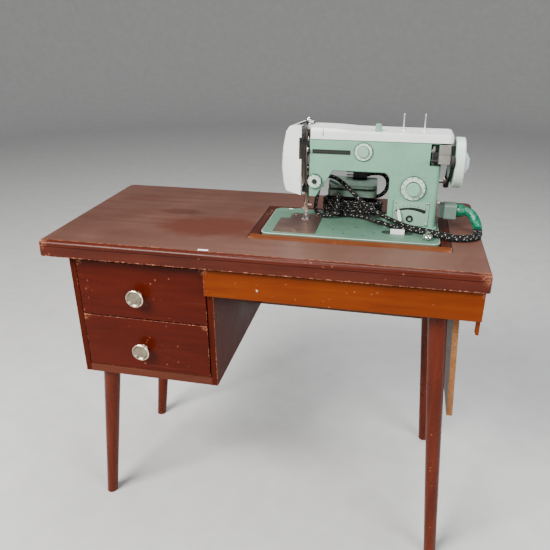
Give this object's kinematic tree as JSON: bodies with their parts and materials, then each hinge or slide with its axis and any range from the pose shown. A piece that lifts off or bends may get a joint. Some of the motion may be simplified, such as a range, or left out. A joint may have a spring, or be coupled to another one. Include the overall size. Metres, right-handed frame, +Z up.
{
  "type": "sewing machine in a table",
  "caption": "Domestic two-tone sewing machine on a tilting hinge in a wooden table with two drawers, splayed legs, and stowed foot controller and leads.",
  "frame": {"origin": "on the floor, under the middle of the table top", "axes": "+X to the right of the person sewing, +Y to the back, +Z up"},
  "size_m": [0.897, 0.447, 0.9445],
  "materials": {
    "wood_top": "satin lacquer, mauve brown, worn",
    "wood_dark": "satin dark red-brown stain, chipped",
    "wood_orange": "satin orange-brown stain, scratched",
    "chipboard": "raw chipboard edge, dark inner face",
    "wood_inner": "unfinished softwood and hardboard",
    "knob_metal": "satin champagne, turned rings",
    "screw_steel": "dull",
    "chrome": "polished",
    "steel": "ground, oily",
    "dark_steel": "oiled, dark",
    "green_paint": "satin sage green enamel",
    "green_casting": "satin sage green enamel on cast aluminium",
    "white_cover": "semi-gloss white enamel",
    "white_plastic": "gloss white",
    "dial_plastic": "white ring, green hub, printed ticks",
    "green_plastic": "satin grey-green moulding",
    "black_plastic": "black",
    "rubber": "matt",
    "braid": "black braid with white flecks",
    "tape": "emerald insulating tape"
  },
  "bodies": {
    "cabinet": {"table_top": "wood_top", "front_lipping": "wood_dark", "opening_frame": "wood_dark", "opening_front_strip": "wood_orange", "pedestal_sides": "wood_dark", "inner_frame": "wood_inner", "back_board": "wood_inner", "right_end_panel": "chipboard", "front_apron": "wood_orange", "apron_screws": "screw_steel", "legs": "wood_dark", "leg_plates": "screw_steel", "hinge_brackets": "steel"},
    "upper_drawer": {"upper_drawer_front": "wood_dark", "upper_drawer_box": "wood_inner", "upper_drawer_knob": "knob_metal"},
    "lower_drawer": {"lower_drawer_front": "wood_dark", "lower_drawer_box": "wood_inner", "lower_drawer_knob": "knob_metal"},
    "head": {"bed": "green_casting", "needle_plate": "chrome", "arm_body": "green_casting", "top_cover": "white_cover", "stitch_plate": "green_paint", "thread_guide": "chrome", "spool_pins": "chrome", "drive_belt": "rubber", "motor": "black_plastic", "bobbin_winder": "steel", "machine_plug": "green_plastic", "cord_wrap": "tape", "controller_cord": "braid", "mains_cord": "braid", "cord_coil": "braid", "mains_plug": "black_plastic", "controller_base": "green_plastic"},
    "slide_plate": {"slide_plate": "chrome"},
    "feed_dog": {"feed_dog": "steel"},
    "face_cover": {"face_cover": "white_cover", "face_cover_screw": "chrome"},
    "needle_bar": {"needle_bar": "steel", "needle": "chrome"},
    "presser": {"presser_bar": "steel", "presser_foot": "chrome"},
    "presser_lifter": {"presser_lifter": "chrome"},
    "pressure_knob": {"pressure_knob": "chrome"},
    "take_up_lever": {"take_up_lever": "chrome"},
    "width_dial": {"width_dial": "dial_plastic"},
    "pattern_dial": {"pattern_dial": "dial_plastic"},
    "tension_dial": {"tension_dial": "dial_plastic"},
    "stitch_lever": {"stitch_lever": "white_plastic"},
    "reverse_button": {"reverse_button": "black_plastic"},
    "feed_button": {"feed_button": "white_plastic"},
    "selector_knob": {"selector_knob": "green_plastic"},
    "handwheel": {"handwheel": "green_paint"},
    "clutch_knob": {"clutch_knob": "white_plastic"},
    "motor_pulley": {"motor_pulley": "steel"},
    "shuttle_hook": {"shuttle_hook": "steel"},
    "bobbin_winder_wheel": {"bobbin_winder_wheel": "rubber"},
    "controller_treadle": {"controller_treadle": "green_plastic"}
  },
  "joints": [
    {"name": "head_tilt", "type": "hinge", "parent": "cabinet", "child": "head", "pos_m": [0.1725, 0.0965, 0.706], "axis": [-1, 0, 0], "range_deg": [0, 40]},
    {"name": "upper_drawer_slide", "type": "slide", "parent": "cabinet", "child": "upper_drawer", "axis": [0, -1, 0], "range_m": [0, 0.3]},
    {"name": "lower_drawer_slide", "type": "slide", "parent": "cabinet", "child": "lower_drawer", "axis": [0, -1, 0], "range_m": [0, 0.3]},
    {"name": "slide_plate_slide", "type": "slide", "parent": "head", "child": "slide_plate", "axis": [-1, 0, 0], "range_m": [0, 0.045]},
    {"name": "face_cover_hinge", "type": "hinge", "parent": "head", "child": "face_cover", "pos_m": [0.0815, 0.075, 0.842], "axis": [0, 0, -1], "range_deg": [-13, 75]},
    {"name": "needle_bar_slide", "type": "slide", "parent": "head", "child": "needle_bar", "axis": [0, 0, 1], "range_m": [-0.018, 0.014]},
    {"name": "take_up_pivot", "type": "hinge", "parent": "head", "child": "take_up_lever", "pos_m": [0.0785, 0.0335, 0.8725], "axis": [-1, 0, 0], "range_deg": [-22, 18]},
    {"name": "feed_dog_slide", "type": "slide", "parent": "head", "child": "feed_dog", "axis": [0, 1, 0], "range_m": [-0.0016, 0.0016]},
    {"name": "presser_lifter_pivot", "type": "hinge", "parent": "head", "child": "presser_lifter", "pos_m": [0.0895, 0.0635, 0.8], "axis": [0, -1, 0], "range_deg": [-1, 62]},
    {"name": "presser_slide", "type": "slide", "parent": "head", "child": "presser", "axis": [0, 0, 1], "range_m": [0, 0.0062]},
    {"name": "pressure_knob_slide", "type": "slide", "parent": "head", "child": "pressure_knob", "axis": [0, 0, -1], "range_m": [0, 0.003], "stiffness_N_per_m": 300, "springref_m": -0.002},
    {"name": "handwheel_spin", "type": "hinge", "parent": "head", "child": "handwheel", "pos_m": [0.3825, 0.0375, 0.85], "axis": [1, 0, 0], "continuous": true},
    {"name": "motor_pulley_spin", "type": "hinge", "parent": "head", "child": "motor_pulley", "pos_m": [0.3745, 0.1135, 0.788], "axis": [1, 0, 0], "continuous": true},
    {"name": "shuttle_hook_spin", "type": "hinge", "parent": "head", "child": "shuttle_hook", "pos_m": [0.0725, 0.0085, 0.686], "axis": [0, 1, 0], "continuous": true},
    {"name": "clutch_knob_turn", "type": "hinge", "parent": "handwheel", "child": "clutch_knob", "pos_m": [0.3975, 0.0375, 0.85], "axis": [1, 0, 0], "range_deg": [0, 90]},
    {"name": "bobbin_winder_spin", "type": "hinge", "parent": "head", "child": "bobbin_winder_wheel", "pos_m": [0.3725, -0.0065, 0.861], "axis": [1, 0, 0], "continuous": true},
    {"name": "width_dial_turn", "type": "hinge", "parent": "head", "child": "width_dial", "pos_m": [0.1945, -0.0025, 0.872], "axis": [0, -1, 0], "range_deg": [-150, 150]},
    {"name": "pattern_dial_turn", "type": "hinge", "parent": "head", "child": "pattern_dial", "pos_m": [0.3015, -0.0025, 0.8], "axis": [0, -1, 0], "range_deg": [-150, 150]},
    {"name": "tension_dial_turn", "type": "hinge", "parent": "head", "child": "tension_dial", "pos_m": [0.094, -0.0025, 0.806], "axis": [0, -1, 0], "range_deg": [-160, 160]},
    {"name": "selector_knob_turn", "type": "hinge", "parent": "head", "child": "selector_knob", "pos_m": [0.2215, 0.0175, 0.92], "axis": [0, 0, 1], "range_deg": [-90, 90]},
    {"name": "stitch_lever_swing", "type": "hinge", "parent": "head", "child": "stitch_lever", "pos_m": [0.3005, -0.0045, 0.68], "axis": [0, 1, 0], "range_deg": [-1, 41]},
    {"name": "reverse_button_press", "type": "slide", "parent": "head", "child": "reverse_button", "axis": [0, 1, 0], "range_m": [0, 0.003], "stiffness_N_per_m": 300},
    {"name": "feed_button_slide", "type": "slide", "parent": "head", "child": "feed_button", "axis": [1, 0, 0], "range_m": [-0.005, 0.005]},
    {"name": "treadle_press", "type": "hinge", "parent": "head", "child": "controller_treadle", "pos_m": [0.1695, 0.1125, 0.776], "axis": [1, 0, 0], "range_deg": [0, 5], "stiffness_Nm_per_rad": 2, "springref_deg": -3.44}
  ],
  "couplings": [
    {"joint": "motor_pulley_spin", "follows": "handwheel_spin", "ratio": 2.88},
    {"joint": "shuttle_hook_spin", "follows": "handwheel_spin", "ratio": 2},
    {"joint": "take_up_pivot", "follows": "needle_bar_slide", "rad_per_m": 12},
    {"joint": "feed_dog_slide", "follows": "needle_bar_slide", "ratio": 0.08},
    {"joint": "presser_lifter_pivot", "follows": "presser_slide", "rad_per_m": 166}
  ]
}
